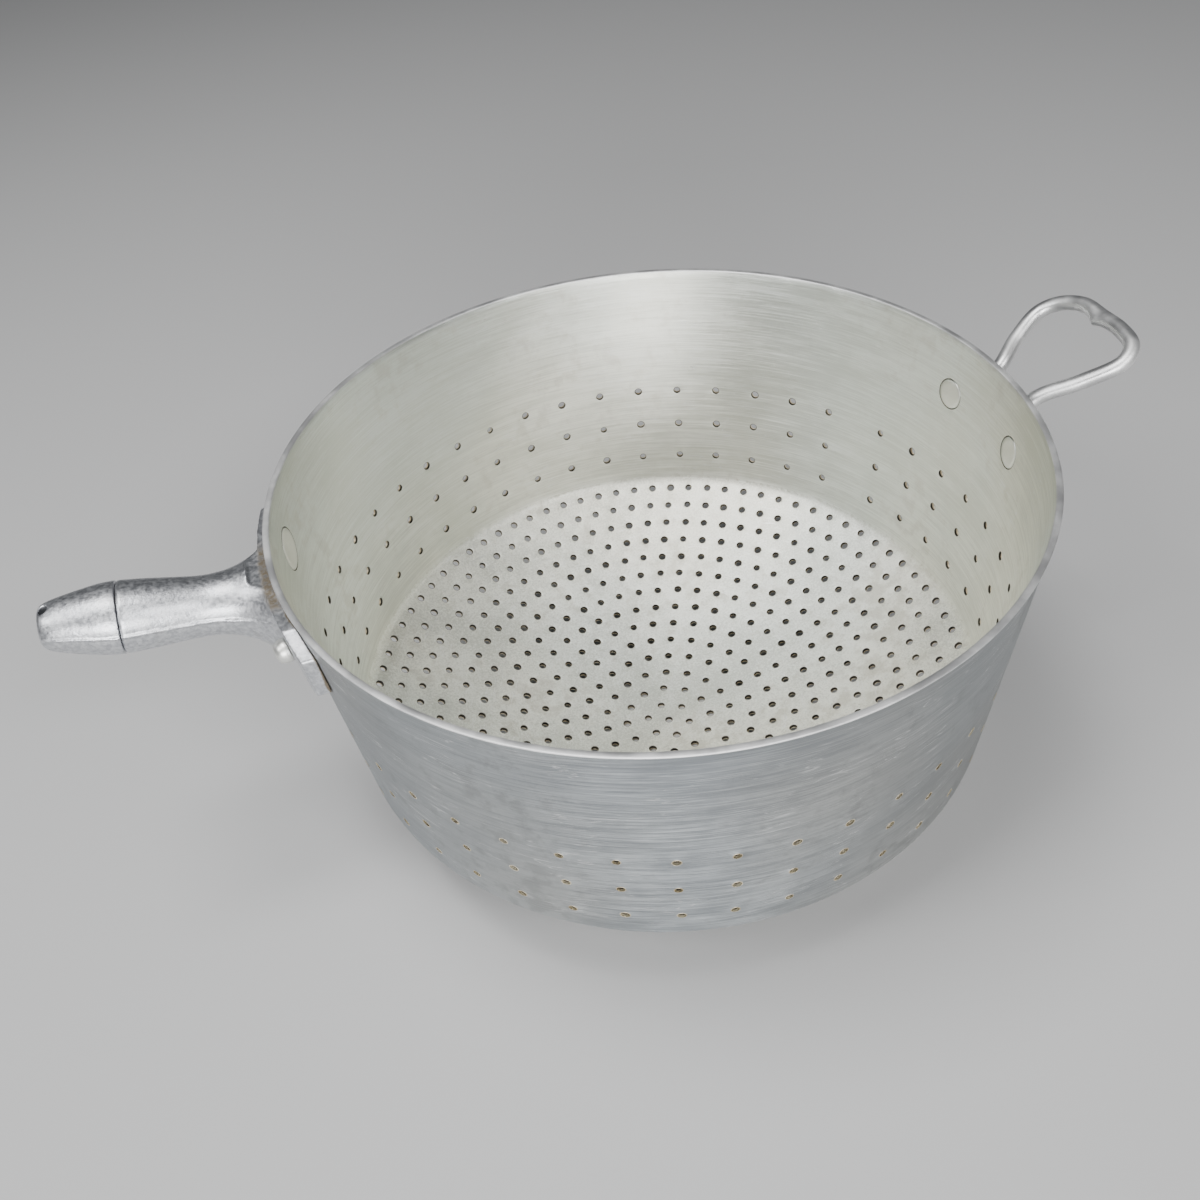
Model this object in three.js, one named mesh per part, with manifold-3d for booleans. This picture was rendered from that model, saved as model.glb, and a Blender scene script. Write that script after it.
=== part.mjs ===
// Perforated aluminium strainer bowl with a cast handle and a riveted wire hook.
// Millimetres, +Z up. The origin is the middle of the dished bottom, the bowl's axis is Z,
// the handle points towards -X, within two degrees, and the wire hook towards +X.
import * as THREE from 'three';
import { mergeVertices } from 'three/addons/utils/BufferGeometryUtils.js';
import Module from 'manifold-3d';

const wasm = await Module();
wasm.setup();

// ---- driving dimensions -------------------------------------------------------------

const GAP = 0.3;                 // clearance kept between touching pieces

// bowl: a tapered wall on a dished bottom, joined by a fillet
const RIM_RADIUS = 144;          // outside, at the rim
const CORNER_RADIUS = 133.1;     // outside, where the wall line meets the dish plane
const DISH_DEPTH = 40.4;
const WALL_HEIGHT = 112;
const RIM_HEIGHT = DISH_DEPTH + WALL_HEIGHT;
const SHEET = 1.65;              // metal thickness of wall and dish
const RIM_EDGE = 2.4;            // thickness of the flat rim
const RIM_BAND = 5;              // height over which the wall thickens into the rim
const DISH_SPHERE = 240;         // outside radius of the dish
const FILLET = 8;                // outside radius between wall and dish
const FOOT_RADIUS = 14;          // flat spot in the middle of the dish
const BOWL_SIDES = 48;

// perforation: the full pattern is 3 rows of 44 holes in the wall, and 14 rings of 6, 12,
// 18 ... 84 holes round a centre hole in the dish; of the rings, only these are drilled here
const HOLE_RADIUS = 1.65;
const HOLE_SIDES = 4;
const ROW_HEIGHTS = [55, 73.4, 91.6];
const COLUMN_COUNT = 44;
const COLUMN_PITCH = 8.09;       // degrees; the last gap, near the hook, is wider
const FIRST_COLUMN = 23.3;       // degrees from the hook
const RING_PITCH = 9.57;         // along the dish
const DRILLED_RINGS = [4, 10];
const RING_START = 3.6;          // degrees: the rings start half a pitch from this line

// handle: a hollow casting on a saddle flange, with a separate end piece
const HANDLE_BEARING = 181.5;    // degrees round from the hook
const HANDLE_HEIGHT = 132.4;     // where the handle's axis meets the wall
const HANDLE_RISE = 9.7;         // degrees
const ROOT_RADIUS = 10.9;
const SEAM_RADIUS = 12.9;
const TIP_RADIUS = 8.3;
const SEAM_AT = 56;              // distances along the handle, from the wall
const TIP_END = 82;
const CORE_RADIUS = 7.5;
const ROD_RADIUS = 3;
const ROD_START = 11;
const ROD_END = 74.5;
const EYE_RADIUS = 1.8;
const EYE_AT = 78.2;
const FLANGE_THICK = 4.6;
const FLANGE_HEIGHT = 131.8;
const FLANGE_ROLL = 1.5;         // degrees by which its -Y end hangs lower
const FLANGE_HALF_WIDTH = 45;
const SHOULDER_HALF_WIDTH = 34.5; // where the flange starts to narrow
const FLANGE_HALF_HEIGHT = 14.7;
const EAR_HALF_HEIGHT = 8.5;     // at the flange's two ends
const HANDLE_SIDES = 28;

// rivets
const SHANK_RADIUS = 2.6;
const HANDLE_RIVET_HEAD = 8.2;
const HANDLE_RIVET_ANGLE = 10.5; // degrees either side of the handle
const HANDLE_RIVET_DROP = 0.7;   // the -Y rivet is this much lower, the other as much higher
const HOOK_RIVET_HEAD = 6.2;
const HOOK_RIVET_ANGLE = 9.3;
const HOOK_RIVET_HEIGHT = 128.2;
const BUTTON_RADIUS = 4.5;
const BUTTON_HEIGHT = 5;
const HEAD_THICK = 0.75;
const POCKET_DEPTH = 0.9;
const RIVET_SIDES = 20;

// wire hook
const WIRE_RADIUS = 3.15;
const HOOK_TILT = 33;            // degrees above the horizontal
const HOOK_CROWN = [184.5, 164.3]; // x and z of the middle of the far side
const PAD_THICK = 3;
const PAD_HALF_LENGTH = 10;
const PAD_HALF_HEIGHT = 5.5;
const WIRE_SIDES = 8;
const WIRE_STEPS = 44;

// ---- materials ----------------------------------------------------------------------

function metal(color, roughness) {
  return new THREE.MeshStandardMaterial({ color, roughness, metalness: 1 });
}

const SPUN_ALUMINIUM = metal(0xb9bab4, 0.42);
const CAST_ALUMINIUM = metal(0xa3a6aa, 0.5);
const RIVET_ALUMINIUM = metal(0xc3c4c0, 0.38);
const WIRE_ALUMINIUM = metal(0xb4b6b8, 0.36);
const ROD_STEEL = metal(0x6d6f73, 0.45);

// ---- solid helpers ------------------------------------------------------------------

const radians = THREE.MathUtils.degToRad;

// A closed manifold solid from any three.js geometry.
function solid(geometry, matrix = new THREE.Matrix4()) {
  const bare = geometry.clone();
  bare.deleteAttribute('normal');
  bare.deleteAttribute('uv');
  bare.applyMatrix4(matrix);
  const merged = mergeVertices(bare, 1e-3);
  const index = merged.index.array;
  const triangles = [];
  for (let i = 0; i < index.length; i += 3) {
    const [a, b, c] = [index[i], index[i + 1], index[i + 2]];
    if (a !== b && b !== c && c !== a) triangles.push(a, b, c);
  }
  const vertProperties = new Float32Array(merged.attributes.position.array);
  if (signedVolume(vertProperties, triangles) < 0) triangles.reverse();
  const triVerts = new Uint32Array(triangles);
  return new wasm.Manifold(new wasm.Mesh({ numProp: 3, vertProperties, triVerts }));
}

function signedVolume(points, triangles) {
  const corner = (i) => new THREE.Vector3().fromArray(points, 3 * triangles[i]);
  let total = 0;
  for (let i = 0; i < triangles.length; i += 3) {
    total += corner(i).dot(corner(i + 1).cross(corner(i + 2)));
  }
  return total / 6;
}

function meshOf(name, manifold, material) {
  const { vertProperties, triVerts } = manifold.getMesh();
  const geometry = new THREE.BufferGeometry();
  const positions = new Float32Array(vertProperties);
  geometry.setAttribute('position', new THREE.BufferAttribute(positions, 3));
  geometry.setIndex(new THREE.BufferAttribute(new Uint32Array(triVerts), 1));
  geometry.computeVertexNormals();
  const mesh = new THREE.Mesh(geometry, material.clone());
  mesh.name = name;
  return mesh;
}

// A solid turned about +Z from [radius, height] points.
function turned(profile, sides, matrix) {
  const points = profile.map(([r, z]) => new THREE.Vector2(r, z));
  const upright = new THREE.Matrix4().makeRotationX(Math.PI / 2);
  const lathe = new THREE.LatheGeometry(points, sides).applyMatrix4(upright);
  return solid(lathe, matrix);
}

// A round bar along local +Z from z0 to z1.
function bar(radius, z0, z1, sides, matrix) {
  return turned([[0, z0], [radius, z0], [radius, z1], [0, z1]], sides, matrix);
}

// A matrix whose local +Z points along a direction, with local X kept level.
function aimed(origin, direction) {
  const z = direction.clone().normalize();
  const x = new THREE.Vector3(-z.y, z.x, 0).normalize();
  const y = new THREE.Vector3().crossVectors(z, x);
  return new THREE.Matrix4().makeBasis(x, y, z).setPosition(origin);
}

const union = (parts) => parts.reduce((sum, part) => sum.add(part));

// ---- bowl ---------------------------------------------------------------------------

const WALL_TOP = RIM_RADIUS - (RIM_EDGE - SHEET);
const WALL_LEAN = Math.atan((WALL_TOP - CORNER_RADIUS) / WALL_HEIGHT);
const wallRadius = (z) => CORNER_RADIUS + (z - DISH_DEPTH) * Math.tan(WALL_LEAN);

// The fillet's centre lies FILLET inside both the wall line and the dish sphere.
function filletCentre() {
  const normal = new THREE.Vector2(Math.cos(WALL_LEAN), -Math.sin(WALL_LEAN));
  const along = new THREE.Vector2(Math.sin(WALL_LEAN), Math.cos(WALL_LEAN));
  const start = new THREE.Vector2(CORNER_RADIUS, DISH_DEPTH).addScaledVector(normal, -FILLET);
  const q = start.clone().sub(new THREE.Vector2(0, DISH_SPHERE));
  const half = q.dot(along);
  const reach = DISH_SPHERE - FILLET;
  const step = -half - Math.sqrt(half * half - q.lengthSq() + reach * reach);
  return start.addScaledVector(along, step);
}

// Bowl outline from the foot to the top of the wall, moved inwards by an offset.
function bowlOutline(offset, dishSteps, filletSteps) {
  const centre = filletCentre();
  const dishAngle = Math.atan2(centre.x, DISH_SPHERE - centre.y);
  const radius = DISH_SPHERE - offset;
  const footAngle = Math.asin(FOOT_RADIUS / DISH_SPHERE);
  const footHeight = DISH_SPHERE - DISH_SPHERE * Math.cos(footAngle);
  const points = [[0, offset], [FOOT_RADIUS, offset]];
  for (let i = 1; i <= dishSteps; i += 1) {
    const angle = footAngle + (dishAngle - footAngle) * (i / dishSteps);
    const drop = footHeight * (1 - i / dishSteps);
    points.push([radius * Math.sin(angle), DISH_SPHERE - radius * Math.cos(angle) - drop]);
  }
  const turn = Math.PI / 2 - WALL_LEAN - dishAngle;
  for (let i = 1; i <= filletSteps; i += 1) {
    const angle = dishAngle + turn * (i / filletSteps);
    const r = FILLET - offset;
    points.push([centre.x + r * Math.sin(angle), centre.y - r * Math.cos(angle)]);
  }
  return points;
}

function bowlShell() {
  const outer = bowlOutline(0, 5, 3);
  const inner = bowlOutline(SHEET, 5, 3).reverse();
  const bandFoot = RIM_HEIGHT - RIM_BAND;
  const inward = SHEET / Math.cos(WALL_LEAN);
  const rim = [
    [wallRadius(bandFoot), bandFoot],
    [RIM_RADIUS, RIM_HEIGHT - 1],
    [RIM_RADIUS - 0.3, RIM_HEIGHT],
    [RIM_RADIUS - RIM_EDGE + 0.3, RIM_HEIGHT],
    [wallRadius(RIM_HEIGHT - 1) - inward, RIM_HEIGHT - 1],
  ];
  return turned([...outer, ...rim, ...inner], BOWL_SIDES);
}

// A point on the outside of the wall and the outward normal there.
function wallFrame(degrees, height) {
  const a = radians(degrees);
  const outward = new THREE.Vector3(Math.cos(a), Math.sin(a), 0);
  const origin = outward.clone().multiplyScalar(wallRadius(height)).setZ(height);
  const normal = outward.multiplyScalar(Math.cos(WALL_LEAN)).setZ(-Math.sin(WALL_LEAN));
  return { origin, normal, matrix: aimed(origin, normal) };
}

function wallHoles() {
  const holes = [];
  for (const height of ROW_HEIGHTS) {
    for (let column = 0; column < COLUMN_COUNT; column += 1) {
      const { matrix } = wallFrame(FIRST_COLUMN - column * COLUMN_PITCH, height);
      holes.push(bar(HOLE_RADIUS, -2.5 * SHEET, SHEET, HOLE_SIDES, matrix));
    }
  }
  return holes;
}

// Turns spherical coordinates about +Y into ones about -Z, measured from the hook.
const POLE_DOWN = new THREE.Matrix4().makeBasis(
  new THREE.Vector3(0, 1, 0),
  new THREE.Vector3(0, 0, -1),
  new THREE.Vector3(1, 0, 0),
);

function dishHoles() {
  const holes = [];
  for (const ring of DRILLED_RINGS) {
    const tilt = (ring * RING_PITCH) / (DISH_SPHERE - SHEET);
    const pitch = 360 / (6 * ring);
    for (let i = 0; i < 6 * ring; i += 1) {
      const a = radians(RING_START + (i + 0.5) * pitch);
      const down = new THREE.Vector3().setFromSphericalCoords(1, tilt, a).applyMatrix4(POLE_DOWN);
      const origin = new THREE.Vector3(0, 0, DISH_SPHERE).addScaledVector(down, DISH_SPHERE);
      holes.push(bar(HOLE_RADIUS, -2.5 * SHEET, SHEET, HOLE_SIDES, aimed(origin, down)));
    }
  }
  return holes;
}

// Clearance for a rivet: its shank, and the pocket for its flush head inside the bowl.
function rivetClearance({ matrix }, headRadius) {
  const shank = bar(SHANK_RADIUS + GAP, -SHEET - 3, 12, RIVET_SIDES, matrix);
  const pocket = bar(headRadius + GAP, -SHEET - 4, -SHEET + POCKET_DEPTH, RIVET_SIDES, matrix);
  return shank.add(pocket);
}

// ---- rivets -------------------------------------------------------------------------

const handleRivetFrames = [-1, 1].map(
  (side) => wallFrame(
    HANDLE_BEARING + side * HANDLE_RIVET_ANGLE,
    FLANGE_HEIGHT - side * HANDLE_RIVET_DROP,
  ),
);
const hookRivetFrames = [-1, 1].map(
  (side) => wallFrame(side * HOOK_RIVET_ANGLE, HOOK_RIVET_HEIGHT),
);

// A flush head inside the wall, a shank, and a button formed over whatever it holds.
function rivet(frame, headRadius, grip) {
  const face = -SHEET - 0.15;
  const button = grip + GAP;
  const profile = [
    [0, face],
    [headRadius, face],
    [headRadius, face + HEAD_THICK],
    [SHANK_RADIUS, face + HEAD_THICK],
    [SHANK_RADIUS, button],
    [BUTTON_RADIUS, button],
    [BUTTON_RADIUS, button + BUTTON_HEIGHT * 0.45],
    [BUTTON_RADIUS * 0.75, button + BUTTON_HEIGHT * 0.85],
    [0, button + BUTTON_HEIGHT],
  ];
  return turned(profile, RIVET_SIDES, frame.matrix);
}

// ---- handle -------------------------------------------------------------------------

// A point on the handle's side of the bowl, a distance from the bowl's axis.
function onBearing(distance, height) {
  const a = radians(HANDLE_BEARING);
  return new THREE.Vector3(distance * Math.cos(a), distance * Math.sin(a), height);
}

const handleRoot = onBearing(wallRadius(HANDLE_HEIGHT), HANDLE_HEIGHT);
const handleMatrix = aimed(handleRoot, onBearing(1, Math.tan(radians(HANDLE_RISE))));

// The wall's outside, grown by a clearance and taken well past both ends.
function wallCone(growth) {
  const grown = (z) => wallRadius(z) + growth / Math.cos(WALL_LEAN);
  const [low, high] = [DISH_DEPTH, RIM_HEIGHT + 60];
  const profile = [[0, low], [grown(low), low], [grown(high), high], [0, high]];
  return turned(profile, 2 * BOWL_SIDES);
}

function flangePlate() {
  const [half, shoulder] = [FLANGE_HALF_WIDTH, SHOULDER_HALF_WIDTH];
  const [tall, low] = [FLANGE_HALF_HEIGHT, EAR_HALF_HEIGHT];
  const corners = [
    [-half, -low], [-shoulder, -tall], [shoulder, -tall], [half, -low],
    [half, low], [shoulder, tall], [-shoulder, tall], [-half, low],
  ];
  const outline = new THREE.Shape(corners.map(([x, y]) => new THREE.Vector2(x, y)));
  const slab = new THREE.ExtrudeGeometry(outline, { depth: 60, bevelEnabled: false });
  const toWall = aimed(onBearing(100, FLANGE_HEIGHT), onBearing(1, 0));
  const roll = new THREE.Matrix4().makeRotationZ(-radians(FLANGE_ROLL));
  return solid(slab, toWall.multiply(roll)).intersect(wallCone(GAP + FLANGE_THICK));
}

function gripOutline() {
  const flare = [[25, -6], [25, 4], [20.5, 6.8], [16.6, 10], [13.4, 13.8], [11.6, 18]];
  const barrel = [[ROOT_RADIUS, 24], [11.7, 36], [SEAM_RADIUS, SEAM_AT - 1], [SEAM_RADIUS - 0.6, SEAM_AT]];
  return turned([[0, -6], ...flare, ...barrel, [0, SEAM_AT]], HANDLE_SIDES, handleMatrix);
}

// The flare blends into the plate sideways, and is no taller than the plate.
function gripBody() {
  const level = new THREE.Matrix4().setPosition(onBearing(150, FLANGE_HEIGHT));
  const slab = solid(new THREE.BoxGeometry(100, 100, 2 * FLANGE_HALF_HEIGHT), level);
  const beyondFlare = bar(SEAM_RADIUS + 4, 11, SEAM_AT + 1, HANDLE_SIDES, handleMatrix);
  const outline = gripOutline();
  return outline.intersect(slab).add(outline.intersect(beyondFlare));
}

// Room for a formed button above the face that it clamps.
function buttonRoom({ matrix }, face) {
  return bar(BUTTON_RADIUS + 0.8, face, face + 20, RIVET_SIDES, matrix);
}

function handleGrip() {
  const core = bar(CORE_RADIUS, 20, SEAM_AT + 5, HANDLE_SIDES, handleMatrix);
  const rodBore = bar(ROD_RADIUS + GAP, ROD_START - 1, 30, HANDLE_SIDES, handleMatrix);
  const shanks = handleRivetFrames.map((frame) => rivetClearance(frame, HANDLE_RIVET_HEAD));
  const buttons = handleRivetFrames.map((frame) => buttonRoom(frame, GAP + FLANGE_THICK));
  const cuts = union([wallCone(GAP), core, rodBore, ...shanks, ...buttons]);
  return gripBody().add(flangePlate()).subtract(cuts);
}

function handleTip() {
  const start = SEAM_AT + GAP;
  const profile = [
    [0, start],
    [SEAM_RADIUS - 0.6, start],
    [SEAM_RADIUS, start + 1],
    [12.3, start + 6],
    [11, start + 13],
    [9.4, start + 20],
    [TIP_RADIUS, TIP_END - 2.4],
    [TIP_RADIUS - 0.9, TIP_END - 0.8],
    [TIP_RADIUS - 2.4, TIP_END],
    [0, TIP_END],
  ];
  const body = turned(profile, HANDLE_SIDES, handleMatrix);
  const core = bar(6.5, start - 5, start + 8, HANDLE_SIDES, handleMatrix);
  const rodBore = bar(ROD_RADIUS + GAP, start - 5, ROD_END + GAP, HANDLE_SIDES, handleMatrix);
  const eyeCentre = new THREE.Vector3(0, 0, EYE_AT).applyMatrix4(handleMatrix);
  const eye = bar(EYE_RADIUS, -20, 20, 12, new THREE.Matrix4().setPosition(eyeCentre));
  return body.subtract(union([core, rodBore, eye]));
}

const tieRod = () => bar(ROD_RADIUS, ROD_START, ROD_END, 12, handleMatrix);

// ---- wire hook ----------------------------------------------------------------------

// The loop lies in a plane that rises outwards; [u, v] are its level and rising directions.
function hookPoint([u, v]) {
  const tilt = radians(HOOK_TILT);
  const [x, z] = HOOK_CROWN;
  return new THREE.Vector3(x + v * Math.cos(tilt), u, z + v * Math.sin(tilt));
}

// Where a leg lies along the wall, a given distance off its surface.
function alongWall(degrees, height, off) {
  const { origin, normal } = wallFrame(degrees, height);
  return origin.addScaledVector(normal, off);
}

function hookPath() {
  const loop = [
    [-12.8, -40], [-20.3, -22.7], [-25.3, -8], [-21.5, -1.5], [-11.5, 0.8],
    [0, 0.7],
    [11, -0.1], [19.8, -5.2], [23.6, -13], [19.8, -26], [12.7, -39],
  ];
  const foot = (side) => [
    alongWall(side * (HOOK_RIVET_ANGLE + 3), HOOK_RIVET_HEIGHT - 1.5, PAD_THICK / 2 + GAP),
    alongWall(side * HOOK_RIVET_ANGLE, HOOK_RIVET_HEIGHT, PAD_THICK / 2 + GAP),
    alongWall(side * (HOOK_RIVET_ANGLE - 3), HOOK_RIVET_HEIGHT + 4, WIRE_RADIUS + 1.1),
  ];
  const points = [...foot(-1), ...loop.map(hookPoint), ...foot(1).reverse()];
  return new THREE.CatmullRomCurve3(points, false, 'centripetal');
}

function hookLoop() {
  const section = new THREE.Shape();
  for (let i = 0; i < WIRE_SIDES; i += 1) {
    const a = (2 * Math.PI * i) / WIRE_SIDES;
    section[i ? 'lineTo' : 'moveTo'](WIRE_RADIUS * Math.cos(a), WIRE_RADIUS * Math.sin(a));
  }
  const options = { steps: WIRE_STEPS, extrudePath: hookPath(), bevelEnabled: false };
  const wire = solid(new THREE.ExtrudeGeometry(section, options));
  const flatten = new THREE.Matrix4().makeScale(PAD_HALF_LENGTH, PAD_HALF_HEIGHT, 1);
  const pads = hookRivetFrames.map(
    ({ matrix }) => bar(1, GAP, GAP + PAD_THICK, 16, matrix.clone().multiply(flatten)),
  );
  const shanks = hookRivetFrames.map((frame) => rivetClearance(frame, HOOK_RIVET_HEAD));
  const buttons = hookRivetFrames.map((frame) => buttonRoom(frame, GAP + PAD_THICK));
  return union([wire, ...pads]).subtract(union([wallCone(GAP), ...shanks, ...buttons]));
}

// ---- assembly -----------------------------------------------------------------------

function bowl() {
  const rivetHoles = [
    ...handleRivetFrames.map((frame) => rivetClearance(frame, HANDLE_RIVET_HEAD)),
    ...hookRivetFrames.map((frame) => rivetClearance(frame, HOOK_RIVET_HEAD)),
  ];
  return bowlShell().subtract(union([...wallHoles(), ...dishHoles(), ...rivetHoles]));
}

const strainer = new THREE.Group();
strainer.add(meshOf('bowl', bowl(), SPUN_ALUMINIUM));
strainer.add(meshOf('handle_grip', handleGrip(), CAST_ALUMINIUM));
strainer.add(meshOf('handle_tip', handleTip(), CAST_ALUMINIUM));
strainer.add(meshOf('tie_rod', tieRod(), ROD_STEEL));
strainer.add(meshOf('hook_loop', hookLoop(), WIRE_ALUMINIUM));
handleRivetFrames.forEach((frame, i) => {
  const shape = rivet(frame, HANDLE_RIVET_HEAD, GAP + FLANGE_THICK);
  strainer.add(meshOf(`handle_rivet_${i + 1}`, shape, RIVET_ALUMINIUM));
});
hookRivetFrames.forEach((frame, i) => {
  const shape = rivet(frame, HOOK_RIVET_HEAD, GAP + PAD_THICK);
  strainer.add(meshOf(`hook_rivet_${i + 1}`, shape, RIVET_ALUMINIUM));
});

export default strainer;
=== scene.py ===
"""A perforated aluminium strainer bowl with a cast handle and a riveted wire hook.

Lengths in this script are millimetres and angles are degrees, turned into metres and
radians where Blender takes them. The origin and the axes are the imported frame's.
"""

import itertools
import math
import random

import bpy
from mathutils import Matrix, Vector, noise
from mathutils.geometry import delaunay_2d_cdt


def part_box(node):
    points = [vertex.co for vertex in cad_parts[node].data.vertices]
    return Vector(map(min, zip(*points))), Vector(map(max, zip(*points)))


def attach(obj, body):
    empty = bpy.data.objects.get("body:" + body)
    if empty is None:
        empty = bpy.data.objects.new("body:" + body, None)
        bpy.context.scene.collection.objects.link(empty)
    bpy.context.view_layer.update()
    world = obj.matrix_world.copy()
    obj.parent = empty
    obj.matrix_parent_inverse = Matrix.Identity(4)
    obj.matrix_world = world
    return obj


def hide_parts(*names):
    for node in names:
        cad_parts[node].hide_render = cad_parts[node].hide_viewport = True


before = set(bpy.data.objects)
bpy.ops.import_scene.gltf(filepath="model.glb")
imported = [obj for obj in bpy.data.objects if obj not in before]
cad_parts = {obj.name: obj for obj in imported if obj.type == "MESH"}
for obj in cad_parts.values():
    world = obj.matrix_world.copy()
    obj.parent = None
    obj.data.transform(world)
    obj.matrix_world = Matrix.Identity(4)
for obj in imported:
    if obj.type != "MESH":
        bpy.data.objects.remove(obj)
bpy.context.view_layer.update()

MM = 0.001
dice = random.Random(7)

# ---- driving dimensions ----------------------------------------------------------------

BOWL_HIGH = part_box("bowl")[1] / MM
RIM_RADIUS = BOWL_HIGH.x
RIM_HEIGHT = BOWL_HIGH.z
CORNER_RADIUS = 133.1          # where the wall's line meets the dish's plane
DISH_DEPTH = 40.4
SHEET = 1.65
RIM_EDGE = 2.4                 # thickness at the rim
RIM_BAND = 5                   # height over which the wall thickens into the rim
RIM_PROFILE = 0.5              # height of the rim's own rounded profile
RIM_SIDES = 360
DISH_SPHERE = 240              # radius of the sphere that the dish is part of
FILLET = 8
WAVE_HEIGHT = 0.16             # of the shell's slow unevenness
WAVE_LENGTH = 45
WAVES_ROUND = 2.2
STILL_MIDDLE = 60              # over which the waves start, from the middle of the dish
STILL_RIM = 12                 # over which they end, at the rim
LOWEST = 0.02                  # least height of any point of the shell
NET_PITCH = 3.7                # between the shell's points, away from the holes
NET_STARTS = 0.45              # of a pitch beyond a hole's last ring
GRID_CELL = 25                 # of the grid that finds the holes near a point

HOLE_RADIUS = 1.52
HOLE_SIDES = 14
COUNTERSINK = 0.22
SHADE_AND_STAIN_RING = 0.28            # width of the dark ring round a hole inside: painted shade and stain
BURR_HEIGHTS = (0.1, 0.28)
BURR_WIDTH = 0.85
DISH_JITTER = 0.22             # how far a drilled hole may be off its place
WALL_JITTER = 0.3
SIZE_JITTER = 0.35             # of the jitter, as a share of the hole's radius
UNSHADED_IN_DISH = 0.2            # share of a hole's depth, from outside, that isn't darkened; the rest is painted shade
UNSHADED_IN_WALL = 0.45
ROW_HEIGHTS = (55, 73.4, 91.6)
COLUMN_COUNT = 44
COLUMN_PITCH = 8.09            # degrees between the holes of a row
FIRST_COLUMN = 23.3            # bearing, from which the columns are counted down
RING_COUNT = 14
RING_PITCH = 9.57
RING_START = 3.6               # bearing, from which each ring of the dish is counted

HANDLE_BEARING = 181.5
HANDLE_HEIGHT = 132.4          # at which its axis meets the wall
HANDLE_RISE = 9.7              # degrees
ROOT_RADIUS = 10.9
SEAM_RADIUS = 12.9
TIP_RADIUS = 8.3
FLARE_RADIUS = 24
GRIP_START = -6                # along the handle's axis, inside the wall
ROUND_FROM = 12.6              # below this the flare keeps to the flange's height
HOLLOW_RADIUS = 7.5
HOLLOW_START = 20
TIP_HOLLOW_RADIUS = 6.5
TIP_HOLLOW_DEPTH = 8
SEAM_AT = 56
TIP_END = 81.9
ROD_RADIUS = 3
ROD_START = 11
ROD_END = 74.5
THREAD_PITCH = 0.9
EYE_AT = 78.2
EYE_RADIUS = 1.8
FLANGE_THICK = 4.6
FLANGE_HEIGHT = 131.8
FLANGE_ROLL = 1.5              # degrees, with its -Y end lower
FLANGE_HALF_WIDTH = 45
SHOULDER_HALF_WIDTH = 34.5     # where the flange starts to narrow
FLANGE_HALF_HEIGHT = 14.7
EAR_HALF_HEIGHT = 8.5
FLASH_RISE = 0.12              # of the flash line above the middle, per unit aside
FLASH_WIDTH = 0.5
GRIP_FLASH = 0.8               # height of the flash line
TIP_FLASH = 0.55
HANDLE_SIDES = 96
ROD_SIDES = 32

SHANK_RADIUS = 2.6
HANDLE_RIVET_HEAD = 8.2        # radius of the flush head
HANDLE_RIVET_ANGLE = 10.5      # degrees to either side of the handle
HANDLE_RIVET_DROP = 0.7
HOOK_RIVET_HEAD = 6.2
HOOK_RIVET_ANGLE = 9.3
HOOK_RIVET_HEIGHT = 128.2
HEAD_THICK = 0.75
HEAD_PROUD = 0.15
POCKET_DEPTH = 0.9
POCKET_SIDES = 48
POCKET_EDGE = 0.16             # width of the dark line round a pocket
BUTTON_RADIUS = 4.5
BUTTON_HEIGHT = 5
BUTTON_ROOM = 0.5
BUTTON_ROOM_HEIGHT = 20
SHANK_ROOM = (-SHEET - 3, 12)
RIVET_SIDES = 56
GAP = 0.3                      # between any two pieces

WIRE_RADIUS = 3.15
WIRE_SKIN = 0.12               # taken off the wire, which the smoothing gives back
HOOK_TILT = 33                 # degrees that its plane rises outwards
HOOK_CROWN = (184.5, 164.3)    # X and Z
PAD_THICK = 3
PAD_HALF_LENGTH = 10
PAD_HALF_HEIGHT = 5.5
PAD_SHIFT = 3                  # degrees from a rivet to either end of its foot
KINK_DEPTH = 1.5
KINK_SWELL = 0.15
KINK_FLATTENED = 0.16          # share of the wire's thickness

PAST = 5                       # how far a cutting shape runs past what it cuts
CONE_PAST_RIM = 60
CONE_SIDES = 400

# ---- meshes ----------------------------------------------------------------------------


def make_object(name, points, faces):
    """A smooth-shaded mesh object from points in millimetres."""
    mesh = bpy.data.meshes.new(name)
    mesh.from_pydata([Vector(p) * MM for p in points], [], faces)
    mesh.update()
    made = bpy.data.objects.new(name, mesh)
    bpy.context.scene.collection.objects.link(made)
    mesh.shade_smooth()
    return made


def aimed(origin, direction):
    """A matrix whose local Z points along a direction, with local X kept level."""
    z = Vector(direction).normalized()
    x = Vector((-z.y, z.x, 0)).normalized() if abs(z.z) < 0.999 else Vector((1, 0, 0))
    y = z.cross(x)
    turned_frame = Matrix((x, y, z)).transposed().to_4x4()
    turned_frame.translation = Vector(origin)
    return turned_frame


def lathe(name, profile, sides, matrix=Matrix()):
    """A solid turned about local Z from (radius, height) points that start and end on it."""
    points = [matrix @ Vector((0, 0, profile[0][1])), matrix @ Vector((0, 0, profile[-1][1]))]
    rings = []
    for radius, height in profile[1:-1]:
        ring = []
        for i in range(sides):
            a = 2 * math.pi * i / sides
            ring.append(len(points))
            points.append(matrix @ Vector((radius * math.cos(a), radius * math.sin(a), height)))
        rings.append(ring)
    faces = []
    for i in range(sides):
        j = (i + 1) % sides
        faces.append((0, rings[0][j], rings[0][i]))
        faces.append((1, rings[-1][i], rings[-1][j]))
        for low, high in zip(rings, rings[1:]):
            faces.append((low[i], low[j], high[j], high[i]))
    return make_object(name, points, faces)


def bar(radius, start, end, matrix, sides=48):
    return lathe("bar", [(0, start), (radius, start), (radius, end), (0, end)], sides, matrix)


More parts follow.
